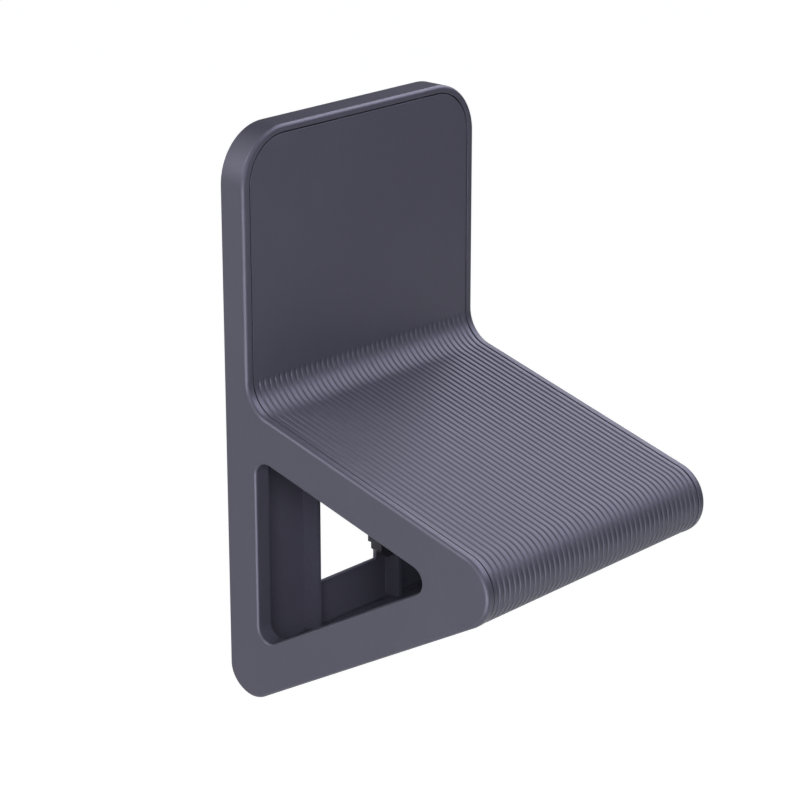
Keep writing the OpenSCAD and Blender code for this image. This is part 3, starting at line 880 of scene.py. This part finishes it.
def setScrews(name, node, profile, spots, faceD, seed, towardsWall=True):
    helper = addObject(name + "Helper", screwMesh(name + "Helper", profile))
    if not towardsWall:
        helper.data.transform(Matrix.Rotation(radians(180), 4, "Z"))
    points = bpy.data.meshes.new(name)
    points.from_pydata([place(x, faceD, z) for x, z in spots], [], [])
    piece = grow(addObject(name, points), screwTree, {
        "Screw": helper, "Spin": screw["spin"], "Seed": seed, "Material": zincScrew})
    helperMesh = helper.data
    bpy.data.objects.remove(helper)
    bpy.data.meshes.remove(helperMesh)
    smoothFlats(piece, screw["sharpOver"])
    finishPiece(piece, "stool", node, "screw_steel", zincScrew)
    print(f"  {name}: {len(spots)} screws, {len(piece.data.polygons)} faces")


headHeight = screw["head"] - screw["shank"]
flatHead = [(0, screw["head"] - screw["rimIn"]), (screw["rimDepth"], screw["head"]),
            (headHeight, screw["shank"])]
setScrews("frameScrews", "frame_screws", flatHead + threaded(headHeight, screw["length"]),
          bossSpots["upper"] + bossSpots["lower"], stool["backGap"], seed=5)

plateScrew = {"side": 51.5, "heights": (207, 260, 313), "length": 5.0}
plateSpots = [(side * plateScrew["side"], z) for side in (-1, 1) for z in plateScrew["heights"]]
setScrews("hookScrews", "hook_screws", flatHead + [(plateScrew["length"], screw["shank"])], plateSpots,
          stool["backGap"], seed=8)

# the latch's shoulder screws have a pan head that looks into the room
latchScrew = {
    "side": 33, "heights": (92, 106), "faceD": 10.4, "head": 2.0, "edge": 0.7, "edgeMiddle": (0.2, 0.25),
    "length": 9.3,
}
panHead = [(0, screw["head"] - latchScrew["edge"]),
           (latchScrew["edgeMiddle"][0], screw["head"] - latchScrew["edgeMiddle"][1]),
           (latchScrew["edge"], screw["head"]), (latchScrew["head"], screw["head"]),
           (latchScrew["head"], screw["shank"]), (latchScrew["length"], screw["shank"])]
setScrews("latchScrews", "latch_screws", panHead, [(latchScrew["side"], z) for z in latchScrew["heights"]],
          latchScrew["faceD"], seed=11, towardsWall=False)
print("screws built")

# the studio's sizes are in metres
studio = {
    "floorHeight": -0.95, "floorHalf": 9, "floorColor": (0.9, 0.9, 0.9), "floorGlow": 0.94,
    "shadowColor": (0.25, 0.25, 0.25), "worldLight": 0.25, "worldColor": (0.93, 0.95, 1.0),
    "aimAt": (0, -0.1, -0.04),
}


# white for the camera and for reflections, an ordinary surface for all other light
def whiteForCamera(tree, plain, white):
    rays = tree.node("ShaderNodeLightPath").outputs
    seen = tree.math("MAXIMUM", rays["Is Camera Ray"], rays["Is Glossy Ray"])
    seen = tree.math("MAXIMUM", seen, rays["Is Transmission Ray"])
    return tree.node("ShaderNodeMixShader", {0: seen, 1: plain, 2: white}).outputs[0]


def lightWorld():
    world = bpy.context.scene.world or bpy.data.worlds.new("studio")
    bpy.context.scene.world = world
    world.use_nodes = True
    world.node_tree.nodes.clear()
    tree = TreeBuilder(world.node_tree)
    dim = tree.node("ShaderNodeBackground", {
        "Color": (*studio["worldColor"], 1), "Strength": studio["worldLight"]}).outputs[0]
    white = tree.node("ShaderNodeBackground", {"Color": (1, 1, 1, 1), "Strength": 1}).outputs[0]
    tree.node("ShaderNodeOutputWorld", {"Surface": whiteForCamera(tree, dim, white)})


def layFloor():
    material = bpy.data.materials.new("studioFloor")
    material.use_nodes = True
    material.node_tree.nodes.clear()
    tree = TreeBuilder(material.node_tree)
    plain = tree.node("ShaderNodeBsdfDiffuse", {"Color": (*studio["floorColor"], 1)}).outputs[0]
    shadowed = tree.node("ShaderNodeBsdfDiffuse", {"Color": (*studio["shadowColor"], 1)}).outputs[0]
    glow = tree.node("ShaderNodeEmission", {"Strength": studio["floorGlow"]}).outputs[0]
    white = tree.node("ShaderNodeAddShader", {0: shadowed, 1: glow}).outputs[0]
    tree.node("ShaderNodeOutputMaterial", {"Surface": whiteForCamera(tree, plain, white)})
    bm = bmesh.new()
    half, height = studio["floorHalf"], studio["floorHeight"]
    bm.faces.new([bm.verts.new((x, y, height))
                  for x, y in ((-half, -half), (half, -half), (half, half), (-half, half))])
    floor = addObject("studioFloor", toMesh(bm, "studioFloor"))
    floor.data.materials.append(material)


lightWorld()
layFloor()

# lamps give the even light and show in no reflection; cards are lamps that only reflections show
coolWhite, blueWhite = (0.97, 0.965, 1.03), (0.91, 0.905, 1.09)
lamps = {
    "front": {"location": (-1.38, -1.30, 0.82), "size": (0.8, 0.8), "power": 15, "color": coolWhite},
    "leftFill": {"location": (-1.60, -0.55, 0.80), "size": (0.7, 0.7), "power": 0.6, "color": coolWhite},
}
cards = {
    "aboveCard": {"location": (1.50, -0.52, 1.39), "size": (3.5, 1.4), "power": 66, "color": blueWhite},
    "leftCard": {"location": (-1.46, 0.66, 1.06), "size": (0.75, 1.6), "power": 29, "color": coolWhite},
    "edgeCard": {"location": (-1.30, -0.78, -0.57), "size": (1.8, 0.9), "power": 34, "color": coolWhite},
}


def hangLamp(name, values, isCard):
    data = bpy.data.lights.new(name, "AREA")
    data.shape, data.size, data.size_y = "RECTANGLE", *values["size"]
    data.energy, data.color = values["power"], values["color"]
    lamp = addObject(name, data)
    lamp.location = values["location"]
    towards = Vector(studio["aimAt"]) - lamp.location
    lamp.rotation_euler = towards.to_track_quat("-Z", "Y").to_euler()
    lamp.visible_camera, lamp.visible_glossy, lamp.visible_diffuse = False, isCard, not isCard


for name, values in lamps.items():
    hangLamp(name, values, isCard=False)
for name, values in cards.items():
    hangLamp(name, values, isCard=True)

# a dark curved flag to the right, which only reflections show, keeps the upright and level faces calm
flag = {
    "radius": 2.4, "fromAngle": -85, "toAngle": 85, "step": 5, "low": -0.70, "high": 1.20, "rearHigh": 3.2,
    "riseFrom": 28, "riseTo": 40, "color": (0.02, 0.02, 0.025),
}


def hangFlag():
    material, tree, shader = startFinish("studioFlag")
    tree.fill(shader, {"Base Color": (*flag["color"], 1), "Roughness": 1, "Specular IOR Level": 0})
    low, high = [], []
    for angle in range(flag["fromAngle"], flag["toAngle"] + 1, flag["step"]):
        c, s = turn(angle)
        rise = min(1, max(0, (angle - flag["riseFrom"]) / (flag["riseTo"] - flag["riseFrom"])))
        top = flag["high"] + rise * (flag["rearHigh"] - flag["high"])
        low.append(Vector((flag["radius"] * c, flag["radius"] * s, flag["low"])))
        high.append(Vector((flag["radius"] * c, flag["radius"] * s, top)))
    bm = bmesh.new()
    loft(bm, [low, high])
    card = addObject("studioFlag", closeMesh(bm, "studioFlag"))
    card.data.materials.append(material)
    card.visible_camera = card.visible_diffuse = card.visible_shadow = False


hangFlag()

view = {
    "lens": 120.9, "sensor": 36, "location": (-1.2912, -1.2390, 0.5720),
    "forward": (0.6956, 0.6374, -0.3313),
}
cameraData = bpy.data.cameras.new("camera")
cameraData.lens, cameraData.sensor_width = view["lens"], view["sensor"]
camera = addObject("camera", cameraData)
camera.location = view["location"]
camera.rotation_euler = Vector(view["forward"]).to_track_quat("-Z", "Y").to_euler()
bpy.context.scene.camera = camera
bpy.context.scene.view_settings.view_transform = "Standard"
print("stage set")
